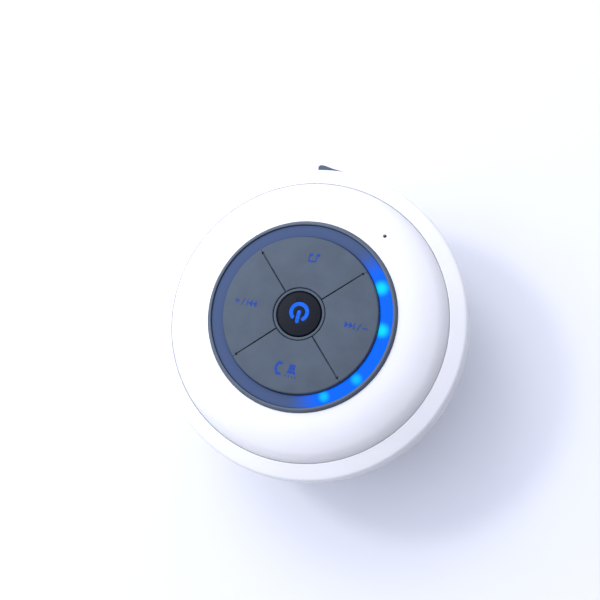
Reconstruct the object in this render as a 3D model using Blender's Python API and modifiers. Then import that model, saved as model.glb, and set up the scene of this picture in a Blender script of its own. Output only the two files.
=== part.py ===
"""Round splash-proof shower speaker on a suction cup, as an assembly of separate solids.

Frame: metres, +Z out of the keypad along the object's axis, +Y towards the top of the
keypad legends as the speaker hangs on a wall. The origin is the centre of the suction
cup's lip, in the plane of the wall or table that it sticks to.

Every size below is in millimetres. MM turns it into the metres that Blender works in.
"""

import math

import bmesh
import bpy
from mathutils import Matrix, Vector

MM = 0.001
GAP = 0.3  # between pieces that touch
FINE, MEDIUM, COARSE = 36, 20, 10  # sides of round pieces, by size

# Driving dimensions
FLANGE_R = 43.0  # largest radius of the housing
FLANGE_TOP, FLANGE_SIDE_TOP, FLANGE_BOTTOM = 44.8, 42.0, 34.4
CREASE_R = 38.3  # where the dome meets the flange
DOME_TOP = 51.75  # height of the dome at its opening
DOME_KNEE = (35.3, 48.2)  # where the dome turns down more steeply
DOME_EDGE, SPIGOT_BOTTOM = 44.4, 43.6
BEZEL_R, BEZEL_TOP = 25.4, 52.9
RING_R = (21.35, 24.15)  # light ring, inner and outer
RING_TOP = 52.4
KEY_R = (7.05, 21.0)  # sector keys, inner and outer
COLLAR_R = (6.15, 6.75)  # raised rim round the power button
KEY_TOP = 54.5
KEY_BOTTOM = 52.6
GROOVE = 0.5  # slit between two keys
CAP_R, CAP_TOP, CAP_THICK = 5.85, 54.6, 1.4  # power button
LENS_R = 4.9
SYMBOL_AT, SYMBOL_R, SYMBOL_STROKE = (0.1, -0.5), 2.15, 1.0  # power symbol
SYMBOL_OPEN, SYMBOL_SLACK = 38, 0.2  # half of its gap in degrees, and room round the lens
SWITCH_R = 15.0  # distance of the four outer switches from the axis
BACK = 18.0  # height of the housing's back face
POST_R = 30.3  # distance of the four screw posts from the axis
SCREW_HOLE_R = 1.45
SLOTS = 10  # sound slots in the back
LAMPS = 12  # lamps under the light ring
CUP_R, CUP_HUB_TOP = 32.0, 14.0
WALL = 2.0

# Heights of the boards
KEY_BOARD = (46.9, 48.3)
MAIN_BOARD = (36.7, 38.2)
BOARD_R = 25.4

# Charging port, at the lower edge of the flange
PORT_Z = 39.8
COVER_HALF, COVER_HEIGHT = 8.2, 4.2
COVER_FLOOR = -40.9
LEAD_R = 0.55  # leads to the cell and the loudspeaker

POST_ANGLES = (45, 135, 225, 315)
KEYS = {"next": 0, "call": 90, "previous": 180, "mode": 270}
MICROPHONE = (30.4, 237.5)

MATERIALS = {
    "white_abs": ("F1F1EF", 0.34, 0.0),
    "grey_silicone": ("5C6674", 0.6, 0.0),
    "frosted_diffuser": ("4B6AC8", 0.35, 0.0),
    "black_abs": ("1B2029", 0.28, 0.0),
    "blue_lens": ("2A63FF", 0.25, 0.0),
    "clear_silicone": ("E4E7EA", 0.22, 0.0),
    "black_rubber": ("1E1F21", 0.7, 0.0),
    "circuit_board": ("1F5A34", 0.45, 0.0),
    "chip_epoxy": ("17181A", 0.5, 0.0),
    "tin_plate": ("C9CBCC", 0.3, 1.0),
    "steel": ("9DA0A3", 0.35, 1.0),
    "ferrite": ("2D2E30", 0.55, 0.0),
    "copper": ("B66A3C", 0.35, 1.0),
    "paper_cone": ("26272A", 0.8, 0.0),
    "battery_foil": ("AEB4BC", 0.3, 1.0),
    "foam": ("2B2C2E", 0.9, 0.0),
    "mesh_cloth": ("33363B", 0.85, 0.0),
    "wire_jacket": ("B3262B", 0.5, 0.0),
}


def linear(channel):
    """One sRGB channel, 0 to 1, as the linear value that a shader takes."""
    return channel / 12.92 if channel <= 0.04045 else ((channel + 0.055) / 1.055) ** 2.4


def material(name):
    """The Principled material of that name, made once."""
    found = bpy.data.materials.get(name)
    if found:
        return found
    colour, roughness, metallic = MATERIALS[name]
    made = bpy.data.materials.new(name)
    made.use_nodes = True
    shader = made.node_tree.nodes["Principled BSDF"]
    rgb = [linear(int(colour[i : i + 2], 16) / 255) for i in (0, 2, 4)]
    shader.inputs["Base Color"].default_value = (*rgb, 1.0)
    shader.inputs["Roughness"].default_value = roughness
    shader.inputs["Metallic"].default_value = metallic
    return made


def collection(name):
    """A new collection in the scene."""
    made = bpy.data.collections.new(name)
    bpy.context.scene.collection.children.link(made)
    return made


def place(name, mesh, finish=None):
    """A new object with that mesh: a part if it has a finish, or else a hidden cutter."""
    made = bpy.data.objects.new(name, mesh)
    if finish:
        PARTS.objects.link(made)
        mesh.materials.append(material(finish))
    else:
        CUTTERS.objects.link(made)
        made.hide_render = True
        made.display_type = "WIRE"
    return made


def cutter_name():
    """A name that no other cutter has."""
    return f"cutter_{len(CUTTERS.objects):02d}"


def arc(centre, radius, start, end, count):
    """Points on a circle from one angle to another, in degrees, both ends included."""
    angles = [math.radians(start + (end - start) * i / (count - 1)) for i in range(count)]
    return [(centre[0] + radius * math.cos(a), centre[1] + radius * math.sin(a)) for a in angles]


def bulge(start, end, turn, count):
    """Points from start to end on a circle that turns by so many degrees on the way."""
    a, b = Vector(start), Vector(end)
    radius = (b - a).length / (2 * math.sin(math.radians(turn) / 2))
    lean = math.atan2(b.y - a.y, b.x - a.x) + math.radians(turn) / 2
    points = []
    for i in range(count):
        bend = math.radians(turn) * i / (count - 1)
        points.append(
            (
                a.x + radius * (math.sin(bend - lean) + math.sin(lean)),
                a.y + radius * (math.cos(bend - lean) - math.cos(lean)),
            )
        )
    return points


def turned(name, profile, finish=None, sides=FINE):
    """A solid of revolution about Z. The profile is (radius, height) and runs down its outer side.

    It is a closed ring unless both of its ends lie on the axis.
    """
    mesh = bpy.data.meshes.new(name)
    shape = bmesh.new()
    points = [shape.verts.new((r * MM, 0, z * MM)) for r, z in profile]
    for first, second in zip(points, points[1:]):
        shape.edges.new((first, second))
    if profile[0][0] > 0:
        shape.edges.new((points[-1], points[0]))
    shape.to_mesh(mesh)
    shape.free()
    made = place(name, mesh, finish)
    screw = made.modifiers.new("turn", "SCREW")
    screw.steps = screw.render_steps = sides
    screw.use_merge_vertices = True
    screw.merge_threshold = 0.00001
    return made


def tube(name, inner, outer, bottom, top, finish=None, sides=MEDIUM):
    """A ring with a rectangular section."""
    section = [(outer, top), (outer, bottom), (inner, bottom), (inner, top)]
    return turned(name, section, finish, sides)


def rod(name, radius, bottom, top, finish=None, at=(0, 0), sides=COARSE):
    """A cylinder along Z."""
    mesh = bpy.data.meshes.new(name)
    shape = bmesh.new()
    bmesh.ops.create_cone(
        shape,
        cap_ends=True,
        segments=sides,
        radius1=radius * MM,
        radius2=radius * MM,
        depth=(top - bottom) * MM,
    )
    shape.to_mesh(mesh)
    shape.free()
    made = place(name, mesh, finish)
    made.location = (at[0] * MM, at[1] * MM, (top + bottom) / 2 * MM)
    return made


def block(name, low, high, finish=None, round_off=0.0):
    """A box between two corners, with its edges rounded if asked."""
    mesh = bpy.data.meshes.new(name)
    shape = bmesh.new()
    size = [(b - a) * MM for a, b in zip(low, high)]
    bmesh.ops.create_cube(shape, size=1, matrix=Matrix.Diagonal((*size, 1)))
    shape.to_mesh(mesh)
    shape.free()
    made = place(name, mesh, finish)
    made.location = [(a + b) / 2 * MM for a, b in zip(low, high)]
    if round_off:
        bevel = made.modifiers.new("round", "BEVEL")
        bevel.width = round_off * MM
        bevel.segments = 2
    return made


def plate(name, outline, bottom, top, finish=None):
    """A flat outline given thickness, made a mesh with its caps welded."""
    curve = bpy.data.curves.new(name, "CURVE")
    curve.dimensions = "2D"
    curve.fill_mode = "BOTH"
    curve.extrude = (top - bottom) / 2 * MM
    line = curve.splines.new("POLY")
    line.points.add(len(outline) - 1)
    for point, (x, y) in zip(line.points, outline):
        point.co = (x * MM, y * MM, 0, 1)
    line.use_cyclic_u = True
    drawn = bpy.data.objects.new(name + "_outline", curve)
    CUTTERS.objects.link(drawn)
    return solidified(name, drawn, finish, height=(top + bottom) / 2)


def solidified(name, drawn, finish, height=0.0):
    """The mesh of a curve object with its caps welded. The curve is removed."""
    bpy.context.view_layer.update()
    evaluated = drawn.evaluated_get(bpy.context.evaluated_depsgraph_get())
    mesh = bpy.data.meshes.new_from_object(evaluated)
    shape = bmesh.new()
    shape.from_mesh(mesh)
    bmesh.ops.remove_doubles(shape, verts=shape.verts, dist=0.000005)
    shape.to_mesh(mesh)
    shape.free()
    mesh.materials.clear()
    bpy.data.objects.remove(drawn)
    made = place(name, mesh, finish)
    made.location = (0, 0, height * MM)
    return made


def wire(name, route, radius, finish):
    """A lead along a smooth curve through the route's points."""
    curve = bpy.data.curves.new(name, "CURVE")
    curve.dimensions = "3D"
    curve.bevel_depth = radius * MM
    curve.bevel_resolution = 1
    curve.use_fill_caps = True
    line = curve.splines.new("POLY")
    smooth = smoothed(route, 4)
    line.points.add(len(smooth) - 1)
    for point, place_at in zip(line.points, smooth):
        point.co = (*(v * MM for v in place_at), 1)
    curve.materials.append(material(finish))
    made = bpy.data.objects.new(name, curve)
    PARTS.objects.link(made)
    return made


def smoothed(route, steps):
    """Catmull-Rom points through a route."""
    points = [Vector(p) for p in route]
    padded = [2 * points[0] - points[1], *points, 2 * points[-1] - points[-2]]
    result = []
    for a, b, c, d in zip(padded, padded[1:], padded[2:], padded[3:]):
        first, second, third = c - a, 2 * a - 5 * b + 4 * c - d, 3 * b - a - 3 * c + d
        for i in range(steps):
            t = i / steps
            result.append(b + (first * t + second * t**2 + third * t**3) / 2)
    return [*result, points[-1]]


def combine(part, other, operation):
    """A live Boolean on part. The other object becomes a cutter if it wasn't one."""
    step = part.modifiers.new(operation.lower(), "BOOLEAN")
    step.operation = operation
    step.object = other
    return part


def cut(part, *others):
    """Takes the others away from part."""
    for other in others:
        combine(part, other, "DIFFERENCE")
    return part


def join(part, *others):
    """Adds the others to part."""
    for other in others:
        combine(part, other, "UNION")
    return part


def polar(radius, angle):
    """The point at that radius and angle, in degrees."""
    return radius * math.cos(math.radians(angle)), radius * math.sin(math.radians(angle))


def turn_about_axis(made, angle):
    """Turns an object about the Z axis of the whole assembly."""
    made.matrix_world = Matrix.Rotation(math.radians(angle), 4, "Z") @ made.matrix_basis
    return made


def smooth_shade():
    """Round pieces shaded smooth, with their hard edges kept."""
    for made in PARTS.objects:
        if made.type == "MESH":
            made.data.shade_smooth()
            made.data.set_sharp_from_angle(angle=math.radians(35))


def front_shell():
    """White dome with the keypad's opening, a short spigot, four screw posts and the microphone hole."""
    opening = (BEZEL_R + GAP, DOME_TOP)
    spigot = (36.9, CREASE_R - 0.2)
    crown = bulge(opening, DOME_KNEE, 24, 4)
    side = bulge(DOME_KNEE, (spigot[1], DOME_EDGE), 42, 4)
    inner = bulge((opening[0], DOME_TOP - WALL), (spigot[0], DOME_EDGE + 0.5), 43, 4)
    bottom = [(spigot[1], SPIGOT_BOTTOM), (spigot[0], SPIGOT_BOTTOM)]
    profile = [*crown, *side[1:], *bottom, *reversed(inner)]
    shell = turned("front_shell", profile, "white_abs")
    for angle in POST_ANGLES:
        at = polar(POST_R, angle)
        join(shell, rod(cutter_name(), 2.5, 34.8, 48.6, at=at))
        cut(shell, rod(cutter_name(), 1.5, 34.0, 44.5, at=at))
    return cut(shell, rod(cutter_name(), 0.55, 44.0, 54.0, at=polar(*MICROPHONE)))


def rear_shell():
    """White bowl with the flange, sound slots, screw posts and the charging port."""
    ledge = SPIGOT_BOTTOM - 1.2
    lip = CREASE_R + 0.2
    outer = [
        (lip, FLANGE_TOP - 0.2),
        (lip + 0.2, FLANGE_TOP),
        *bulge((FLANGE_R - 1.2, FLANGE_TOP - 1.3), (FLANGE_R, FLANGE_SIDE_TOP), 70, 4),
        *arc((FLANGE_R - 1.8, FLANGE_BOTTOM + 1.8), 1.8, 0, -80, 3),
        *bulge((39.8, FLANGE_BOTTOM - 0.5), (33.4, BACK), 58, 5),
    ]
    inner = [
        (1.6, BACK),
        (1.6, BACK + 2.2),
        (31.6, BACK + 2.2),
        *reversed(bulge((37.8, 34.0), (33.4, 21.2), 34, 3)),
        (37.8, 36.0),
        (36.7, 38.0),
        (36.7, ledge),
        (lip, ledge),
    ]
    shell = turned("rear_shell", outer + inner, "white_abs")
    for angle in POST_ANGLES:
        at = polar(POST_R, angle)
        join(shell, rod(cutter_name(), 2.6, 19.0, 32.6, at=at))
        cut(shell, rod(cutter_name(), 2.5, 16.0, 20.6, at=at))
        cut(shell, rod(cutter_name(), SCREW_HOLE_R, 19.0, 34.0, at=at))
    for index in range(SLOTS):
        slot = block(cutter_name(), (11.5, -0.9, 16.0), (20.5, 0.9, 22.0))
        cut(shell, turn_about_axis(slot, 360 / SLOTS * index))
    cut_port(shell)
    return shell


def cut_port(shell):
    """Cuts the cover's pocket, the strap's channel, the socket's slot and the strap's anchor hole."""
    low, high = PORT_Z - COVER_HEIGHT / 2 - GAP, PORT_Z + COVER_HEIGHT / 2 + GAP
    side = COVER_HALF + 0.4
    openings = [
        ((-side, -50, low), (side, COVER_FLOOR, high)),
        ((-11.5, -50, PORT_Z - 1.5), (1 - side, COVER_FLOOR + 0.6, PORT_Z + 1.5)),
        ((-4.6, -42, PORT_Z - 1.75), (4.6, -35, PORT_Z + 1.75)),
        ((-10.8, -42, PORT_Z - 0.9), (-9.2, -38.9, PORT_Z + 0.9)),
    ]
    for corner, opposite in openings:
        cut(shell, block(cutter_name(), corner, opposite))


def shells():
    """Housing shells, their seal and the four screws that hold them together."""
    front_shell()
    rear_shell()
    tube("shell_seal", 37.1, 38.4, 42.7, 43.3, "black_rubber", FINE)
    shank = [(0, 44.0), (1.15, 43.0), (1.15, 20.3)]
    head = [(2.1, 20.3), (2.1, 19.0), (1.0, 18.7), (0.9, 19.3), (0, 19.3)]
    for index, angle in enumerate(POST_ANGLES):
        screw = turned(f"shell_screw_{index + 1}", shank + head, "steel", COARSE)
        screw.location = (*(v * MM for v in polar(POST_R, angle)), 0)


def suction_cup():
    """The soft cup, its hard hub, and the mushroom post that the hub turns on."""
    bell = bulge((10.8, 10.4), (CUP_R - 0.4, 1.0), -22, 6)
    under = bulge((CUP_R - 3.2, 0.25), (9.0, 4.3), 20, 5)
    turned(
        "suction_cup",
        [
            (0, 5.7),
            (7.8, 5.7),
            (7.8, CUP_HUB_TOP),
            (10.0, CUP_HUB_TOP),
            (10.6, CUP_HUB_TOP - 0.6),
            *bell,
            (CUP_R, 0.5),
            (CUP_R, 0),
            (CUP_R - 3, 0),
            *under,
            (0, 4.6),
        ],
        "clear_silicone",
    )
    turned(
        "cup_hub",
        [
            (0, 8.0),
            (5.35, 8.0),
            (5.35, 11.2),
            (3.6, 11.2),
            (3.6, 15.2),
            (9.4, 15.2),
            (9.4, 14.3),
            (7.5, 14.3),
            (7.5, 7.2),
            (0, 7.2),
        ],
        "white_abs",
        MEDIUM,
    )
    seat = [(0, 17.7), (7.5, 17.7), (7.5, 16.4)]
    stem = [(3.2, 15.6), (3.2, 10.9), (5.0, 10.9), (5.0, 9.4), (3.6, 8.3), (0, 8.3)]
    post = turned("cup_post", seat + stem, "white_abs", MEDIUM)
    cut(post, rod(cutter_name(), 1.6, 9.6, 19.0))
    turned(
        "cup_post_screw",
        [(0, 21.6), (2.5, 21.3), (2.5, 20.5), (1.2, 20.5), (1.2, 10.4), (0, 10.0)],
        "steel",
        COARSE,
    )


def bezel():
    """Grey ring around the light ring, with a hidden rim that hooks under the dome."""
    inside = RING_R[1] + GAP
    turned(
        "bezel_ring",
        [
            (inside, BEZEL_TOP),
            (inside + 0.35, BEZEL_TOP),
            *bulge((inside + 0.5, BEZEL_TOP - 0.05), (BEZEL_R, BEZEL_TOP - 1.2), 40, 4),
            (BEZEL_R, 49.4),
            (27.2, 49.4),
            (27.2, 48.8),
            (inside, 48.8),
        ],
        "grey_silicone",
    )
    turned(
        "light_ring",
        [
            (RING_R[0], RING_TOP),
            (RING_R[1], RING_TOP - 0.1),
            (RING_R[1], 50.0),
            (RING_R[0], 50.0),
        ],
        "frosted_diffuser",
    )


def keypad():
    """Silicone base with its collar, and the four sector keys with their plungers."""
    base = turned(
        "keypad_base",
        [
            (KEY_R[1], 51.7),
            (KEY_R[1], 50.8),
            (COLLAR_R[0], 50.8),
            (COLLAR_R[0], KEY_TOP - 0.2),
            (COLLAR_R[1], KEY_TOP - 0.2),
            (COLLAR_R[1], 51.7),
        ],
        "grey_silicone",
    )
    half_gap = GROOVE / 2 * math.sqrt(2)
    reach = 30.0
    for name, angle in KEYS.items():
        at = polar(SWITCH_R, angle)
        cut(base, rod(cutter_name(), 2.3, 50.0, 52.5, at=at))
        sector = [(half_gap, 0), (reach, half_gap - reach), (reach, reach - half_gap)]
        wedge = turn_about_axis(plate(cutter_name(), sector, 40, 60), angle)
        key = turned(
            f"key_{name}",
            [
                (KEY_R[0], KEY_TOP),
                (14.4, KEY_TOP - 0.2),
                (KEY_R[1] - 0.35, KEY_TOP - 0.55),
                (KEY_R[1], KEY_TOP - 0.9),
                (KEY_R[1], KEY_BOTTOM),
                (KEY_R[0], KEY_BOTTOM),
            ],
            "grey_silicone",
        )
        combine(key, wedge, "INTERSECT")
        join(key, rod(cutter_name(), 1.8, 50.9, KEY_BOTTOM + 0.6, at=at))


def power_button():
    """Black cap with the symbol cut through it, and the lens that fills the symbol."""
    cap = turned(
        "power_cap",
        [
            (0, CAP_TOP),
            (3.2, CAP_TOP - 0.05),
            (CAP_R - 0.55, CAP_TOP - 0.2),
            (CAP_R, CAP_TOP - 0.6),
            (CAP_R, 50.5),
            (7.3, 50.5),
            (7.3, 49.7),
            (LENS_R + GAP, 49.7),
            (LENS_R + GAP, CAP_TOP - CAP_THICK),
            (0, CAP_TOP - CAP_THICK),
        ],
        "black_abs",
        MEDIUM,
    )
    lens_top = CAP_TOP - CAP_THICK - GAP
    lens = rod("power_lens", LENS_R, lens_top - 1.0, lens_top, "blue_lens", sides=MEDIUM)
    join(lens, rod(cutter_name(), 1.5, 50.9, lens_top - 0.5))
    for outline in (symbol_arc, symbol_bar):
        cut(cap, plate(cutter_name(), outline(SYMBOL_SLACK), lens_top, CAP_TOP + 1))
        join(lens, plate(cutter_name(), outline(0), lens_top - 0.4, CAP_TOP - 0.15))


def symbol_arc(slack):
    """The broken circle of the power symbol, grown by some slack on every side."""
    ends = (90 + SYMBOL_OPEN - slack * 20, 450 - SYMBOL_OPEN + slack * 20)
    outer = arc(SYMBOL_AT, SYMBOL_R + SYMBOL_STROKE / 2 + slack, *ends, 13)
    inner = arc(SYMBOL_AT, SYMBOL_R - SYMBOL_STROKE / 2 - slack, *reversed(ends), 9)
    return outer + inner


def symbol_bar(slack):
    """The upright bar of the power symbol, from the circle's centre out through its gap."""
    x, y = SYMBOL_AT
    half = SYMBOL_STROKE / 2 + slack
    low, high = y - half, y + 1.4 * SYMBOL_R + slack
    return [(x - half, low), (x + half, low), (x + half, high), (x - half, high)]


def tact_switch(name, at):
    """A switch body with its well, and the stem that a key pushes down."""
    x, y = at
    half = 2.3
    body = block(f"switch_{name}", (x - half, y - half, 48.6), (x + half, y + half, 50.1), "chip_epoxy")
    cut(body, rod(cutter_name(), 1.3, 48.9, 51.0, at=at))
    rod(f"switch_stem_{name}", 0.9, 49.6, 50.6, "tin_plate", at=at)


def key_board():
    """Round upper board with the light ring's lamps and the five switches."""
    rod("key_board", BOARD_R - 0.2, *KEY_BOARD, "circuit_board", sides=FINE)
    strip = tube("lamp_strip", 21.6, 23.8, 48.6, 48.9, "circuit_board", FINE)
    for index in range(LAMPS):
        lamp = block(cutter_name(), (22.0, -0.8, 48.75), (23.4, 0.8, 49.6))
        join(strip, turn_about_axis(lamp, 360 / LAMPS * index))
    tact_switch("power", (0, 0))
    for name, angle in KEYS.items():
        tact_switch(name, polar(SWITCH_R, angle))


def carrier():
    """Inner chassis ring that holds both boards and is clamped by the shell screws."""
    ring = turned(
        "board_carrier",
        [
            (27.4, 46.6),
            (27.4, 32.9),
            (25.8, 32.9),
            (25.8, 35.6),
            (24.4, 35.6),
            (24.4, 36.4),
            (25.9, 36.4),
            (25.9, 45.8),
            (23.8, 45.8),
            (23.8, 46.6),
        ],
        "black_abs",
    )
    for angle in POST_ANGLES:
        lug = block(cutter_name(), (26.2, -2.4, 32.9), (32.6, 2.4, 34.5))
        join(ring, turn_about_axis(lug, angle))
        cut(ring, rod(cutter_name(), SCREW_HOLE_R, 32.0, 36.0, at=polar(POST_R, angle)))
    cut(ring, block(cutter_name(), (-6.9, -30, 36.45), (6.9, -20, 42.5)))
    cut(ring, block(cutter_name(), (-30, -2, 36.5), (-20, 2, 42.0)))
    return ring


def main_board():
    """Lower board with the port, the radio, the amplifier, the battery and what is wired to it."""
    bottom, top = MAIN_BOARD
    rest = top + GAP
    board = rod("main_board", BOARD_R, bottom, top, "circuit_board", sides=FINE)
    join(board, block(cutter_name(), (-6.5, -35.6, bottom), (6.5, -20, top)))
    socket = block("usb_socket", (-3.8, -39.0, rest), (3.8, -33.5, rest + 2.6), "tin_plate")
    middle = rest + 1.3
    cut(socket, block(cutter_name(), (-3.45, -41, middle - 0.92), (3.45, -34.4, middle + 0.92)))
    join(socket, block(cutter_name(), (-1.95, -38.2, middle - 0.3), (1.95, -33.9, middle + 0.3)))
    block("battery_pad", (-13, -7, rest), (13, 12, rest + 0.6), "foam")
    block("battery", (-15, -8, rest + 0.9), (15, 13, rest + 5.7), "battery_foil", 0.9)
    block("radio_module", (-14.5, -19.5, rest), (-6.5, -12.5, rest + 1.7), "tin_plate", 0.25)
    block("amplifier_chip", (8.0, -15.0, rest), (12.0, -11.0, rest + 1.0), "chip_epoxy")
    rod("output_coil", 2.2, rest, rest + 2.6, "ferrite", at=(13.5, -18.2))
    rod("filter_capacitor", 2.0, rest, rest + 3.8, "battery_foil", at=(-18.0, -9.6))
    block("board_link", (-6, 18.2, rest), (6, 20.8, KEY_BOARD[0] - GAP), "black_abs")
    microphone()
    leads()


def microphone():
    """The microphone capsule in its rubber boot, under the hole in the dome."""
    at = polar(*MICROPHONE)
    boot = rod("mic_boot", 2.7, 44.0, 47.4, "black_rubber", at=at)
    cut(boot, rod(cutter_name(), 2.2, 43.0, 46.4, at=at))
    cut(boot, rod(cutter_name(), 0.8, 46.0, 49.0, at=at))
    rod("microphone", 1.9, 44.2, 46.1, "tin_plate", at=at)


def leads():
    """Leads from the battery and from the loudspeaker to the main board."""
    to_battery = [
        (15.5, 8.0, 42.0),
        (17.6, 7.6, 42.0),
        (18.8, 5.0, 41.2),
        (18.8, 2.0, 39.6),
        (18.8, 0, 39.1),
        (18.8, -2.6, 39.1),
    ]
    to_loudspeaker = [
        (-20.6, 0, 25.2),
        (-23.6, 0, 26.2),
        (-26.6, 0, 30.0),
        (-29.6, 0, 34.0),
        (-29.9, 0, 37.6),
        (-28.4, 0, 40.0),
        (-25.0, 0, 40.4),
        (-20.6, 0, 39.3),
    ]
    wire("battery_lead", to_battery, LEAD_R, "wire_jacket")
    wire("speaker_lead", to_loudspeaker, LEAD_R, "wire_jacket")


def driver():
    """The loudspeaker, which faces the back of the housing, with its gasket and rain cloth."""
    turned(
        "driver_basket",
        [
            (10.8, 29.1),
            (13.6, 29.1),
            (19.9, 24.0),
            (22.6, 24.0),
            (22.6, 22.8),
            (19.5, 22.8),
            (13.1, 28.2),
            (10.8, 28.2),
        ],
        "steel",
        MEDIUM,
    )
    tube("driver_plate", 6.1, 11.5, 29.4, 31.0, "steel")
    tube("driver_magnet", 7.2, 11.5, 31.3, 34.3, "ferrite")
    turned(
        "driver_yoke",
        [(0, 36.1), (11.5, 36.1), (11.5, 34.6), (5.0, 34.6), (5.0, 29.4), (0, 29.4)],
        "steel",
        MEDIUM,
    )
    tube("voice_coil", 5.35, 5.7, 26.2, 32.0, "copper")
    turned(
        "driver_cone",
        [(6.1, 26.3), (6.5, 26.3), (16.4, 22.9), (16.4, 22.4), (6.1, 25.8)],
        "paper_cone",
        MEDIUM,
    )
    turned(
        "dust_cap",
        [(0, 24.6), (3.4, 24.9), (5.7, 25.5), (5.7, 25.0), (3.4, 24.3), (0, 24.0)],
        "paper_cone",
        MEDIUM,
    )
    turned(
        "driver_surround",
        [
            (22.4, 22.5),
            (22.4, 22.2),
            *arc((18.3, 22.2), 1.1, 0, -180, 5),
            (16.8, 22.2),
            (16.8, 22.5),
            *arc((18.3, 22.5), 0.7, -180, 0, 5),
        ],
        "black_rubber",
        MEDIUM,
    )
    waves = [(7 + i, 27.35 + (0.25 if i % 2 else -0.05)) for i in range(5)]
    below = [(r, z - 0.35) for r, z in reversed(waves)]
    turned(
        "driver_spider",
        [(11.8, 27.5), (11.8, 27.2), *below, (6.3, 27.0), (6.3, 27.3), *waves],
        "mesh_cloth",
        MEDIUM,
    )
    tube("driver_gasket", 20.3, 22.6, 21.1, 21.9, "foam")
    tube("rain_cloth", 3.4, 22.6, 20.5, 20.8, "mesh_cloth")


def port_cover():
    """Silicone cover of the charging port, with its plug and pull lip, and the strap that holds it."""
    half = COVER_HEIGHT / 2
    low, high = PORT_Z - half, PORT_Z + half
    back = COVER_FLOOR - GAP
    left, right = -COVER_HALF, COVER_HALF
    start = math.degrees(math.asin(left / FLANGE_R)) - 90
    face = arc((0, 0), FLANGE_R, start, -89, 5)
    lip = [(4.0, -43.35), (6.6, -43.75), (7.8, -43.75)]
    end = [(right + 0.25, -43.3), (right + 0.1, -42.6), (right, back)]
    outline = [(left, back), (left - 0.05, -41.9), *face, *lip, *end]
    cover = plate("usb_cover", outline, low, high, "grey_silicone")
    join(cover, block(cutter_name(), (-4.0, back - 0.4, PORT_Z - 1.25), (4.0, -39.4, PORT_Z + 1.25)))
    ends = ((-11.2, -41.6, PORT_Z - 1.2), (-8.75, -40.6, PORT_Z + 1.2))
    strap = block("usb_cover_strap", *ends, "grey_silicone")
    join(strap, block(cutter_name(), (-10.5, -41.2, PORT_Z - 0.6), (-9.5, -39.2, PORT_Z + 0.6)))


for old in list(bpy.data.objects):
    bpy.data.objects.remove(old)
PARTS = collection("shower_speaker")
CUTTERS = collection("cutters")
shells()
suction_cup()
bezel()
keypad()
power_button()
key_board()
carrier()
main_board()
driver()
port_cover()
smooth_shade()
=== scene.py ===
"""Looks of a round shower speaker on a suction cup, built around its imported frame.

Each class makes the pieces of one sub-assembly and dresses them. A new piece stands for the coarse
CAD node of the same part and rides on that node's body. The frame is in metres, +Z out of the keypad
and +Y towards the top of the key symbols. Sizes are written in millimetres and turned by MM.
"""

from __future__ import annotations

import logging
import math
from dataclasses import dataclass, field
from enum import Enum
from typing import Callable, Sequence

import bpy
from mathutils import Matrix, Vector

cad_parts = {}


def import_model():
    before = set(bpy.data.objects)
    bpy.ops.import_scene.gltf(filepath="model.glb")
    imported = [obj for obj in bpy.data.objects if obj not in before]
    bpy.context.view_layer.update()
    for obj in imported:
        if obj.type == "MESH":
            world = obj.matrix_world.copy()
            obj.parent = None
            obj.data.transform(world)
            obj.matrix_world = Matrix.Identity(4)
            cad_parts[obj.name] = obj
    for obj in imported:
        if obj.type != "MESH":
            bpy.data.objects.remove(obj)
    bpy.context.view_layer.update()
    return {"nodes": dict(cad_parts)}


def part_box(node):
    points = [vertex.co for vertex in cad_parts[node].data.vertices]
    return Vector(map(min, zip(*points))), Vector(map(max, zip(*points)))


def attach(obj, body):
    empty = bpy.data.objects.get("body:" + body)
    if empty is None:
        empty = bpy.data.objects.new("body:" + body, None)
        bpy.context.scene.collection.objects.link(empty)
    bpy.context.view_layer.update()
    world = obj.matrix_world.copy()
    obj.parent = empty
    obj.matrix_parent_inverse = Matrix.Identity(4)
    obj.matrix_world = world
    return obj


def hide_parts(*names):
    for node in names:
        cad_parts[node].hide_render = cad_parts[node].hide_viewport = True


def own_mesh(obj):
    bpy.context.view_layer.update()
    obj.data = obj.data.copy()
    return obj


LOG = logging.getLogger("shower_speaker")

MM = 0.001
ROUND = 180  # sides of a housing-sized turned piece
SMALL_ROUND = 96  # sides of a button-sized one
WELD = 0.004 * MM  # vertices this close are one
AXIS_R = 0.0008  # radius in mm that stands for the axis itself, welded to a point
SMOOTH_BELOW = 32  # degrees between faces that shade as one surface
DIAGONALS = (45, 135, 225, 315)  # where the screw posts and the slits between the keys are, in degrees

Point = tuple[float, float]
Corner = tuple[float, ...]


# --------------------------------------------------------------------------- outlines


def bulge(start: Point, end: Point, turn: float, count: int) -> list[Point]:
    """Points on a circle from start to end.

    Args:
        start: First point, in mm.
        end: Last point, in mm.
        turn: How far the circle turns on the way, in degrees.
        count: Number of points, both ends included.

    Returns:
        The points, in mm.
    """
    a, b = Vector(start), Vector(end)
    radius = (b - a).length / (2 * math.sin(math.radians(turn) / 2))
    lean = math.atan2(b.y - a.y, b.x - a.x) + math.radians(turn) / 2
    points = []
    for i in range(count):
        bend = math.radians(turn) * i / (count - 1) - lean
        x = a.x + radius * (math.sin(bend) + math.sin(lean))
        y = a.y + radius * (math.cos(bend) - math.cos(lean))
        points.append((x, y))
    return points


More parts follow.
